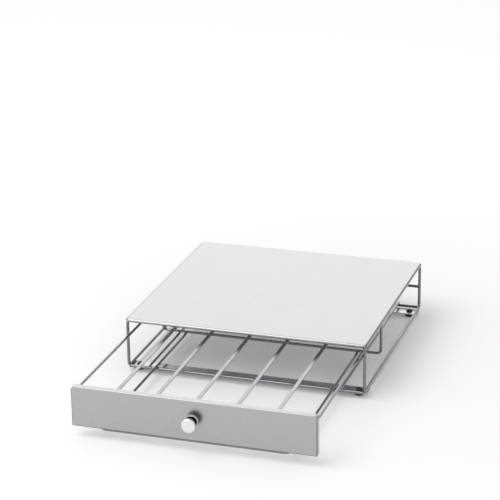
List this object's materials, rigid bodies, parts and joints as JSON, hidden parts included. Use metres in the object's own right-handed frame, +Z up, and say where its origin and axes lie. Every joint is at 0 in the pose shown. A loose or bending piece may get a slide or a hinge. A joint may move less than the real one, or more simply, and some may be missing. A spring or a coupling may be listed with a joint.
{
  "type": "coffee pod drawer",
  "caption": "Low wire-framed stand with a sheet-metal deck and a sliding wire drawer whose lanes hold coffee pods by their rims.",
  "frame": {"origin": "on the table, below the middle of the whole object as it stands with its drawer drawn out", "axes": "+Z up, -Y towards the user (the way the drawer opens), +X to the user's right"},
  "size_m": [0.324, 0.526, 0.075],
  "materials": {
    "deck_satin": "satin silver coated sheet steel",
    "front_satin": "satin silver coated sheet steel",
    "wire_chrome": "bright plated wire",
    "lane_steel": "plated flat strip",
    "strip_steel": "plated flat bar",
    "foot_rubber": "matt black moulded rubber",
    "knob_chrome": "turned and polished",
    "screw_zinc": "bright zinc"
  },
  "bodies": {
    "frame": {"deck": "deck_satin", "left_side_loop": "wire_chrome", "right_side_loop": "wire_chrome", "front_deck_wire": "wire_chrome", "rear_deck_wire": "wire_chrome", "rear_stop_wire": "wire_chrome", "front_floor_wire": "wire_chrome", "rear_floor_wire": "wire_chrome", "left_guide_rail": "wire_chrome", "right_guide_rail": "wire_chrome", "front_foot_strip": "strip_steel", "rear_foot_strip": "strip_steel", "foot_front_left": "foot_rubber", "foot_front_right": "foot_rubber", "foot_rear_left": "foot_rubber", "foot_rear_right": "foot_rubber"},
    "drawer": {"drawer_front": "front_satin", "drawer_left_rail": "wire_chrome", "drawer_right_rail": "wire_chrome", "drawer_front_cross": "wire_chrome", "drawer_rear_cross": "wire_chrome", "drawer_rear_hoop": "wire_chrome", "drawer_runner": "wire_chrome", "lane_strip_1": "lane_steel", "lane_strip_2": "lane_steel", "lane_strip_3": "lane_steel", "lane_strip_4": "lane_steel", "lane_strip_5": "lane_steel", "knob": "knob_chrome", "knob_screw": "screw_zinc"}
  },
  "joints": [
    {"name": "drawer_slide", "type": "slide", "parent": "frame", "child": "drawer", "axis": [0, -1, 0], "range_m": [-0.188, 0.1083]}
  ]
}
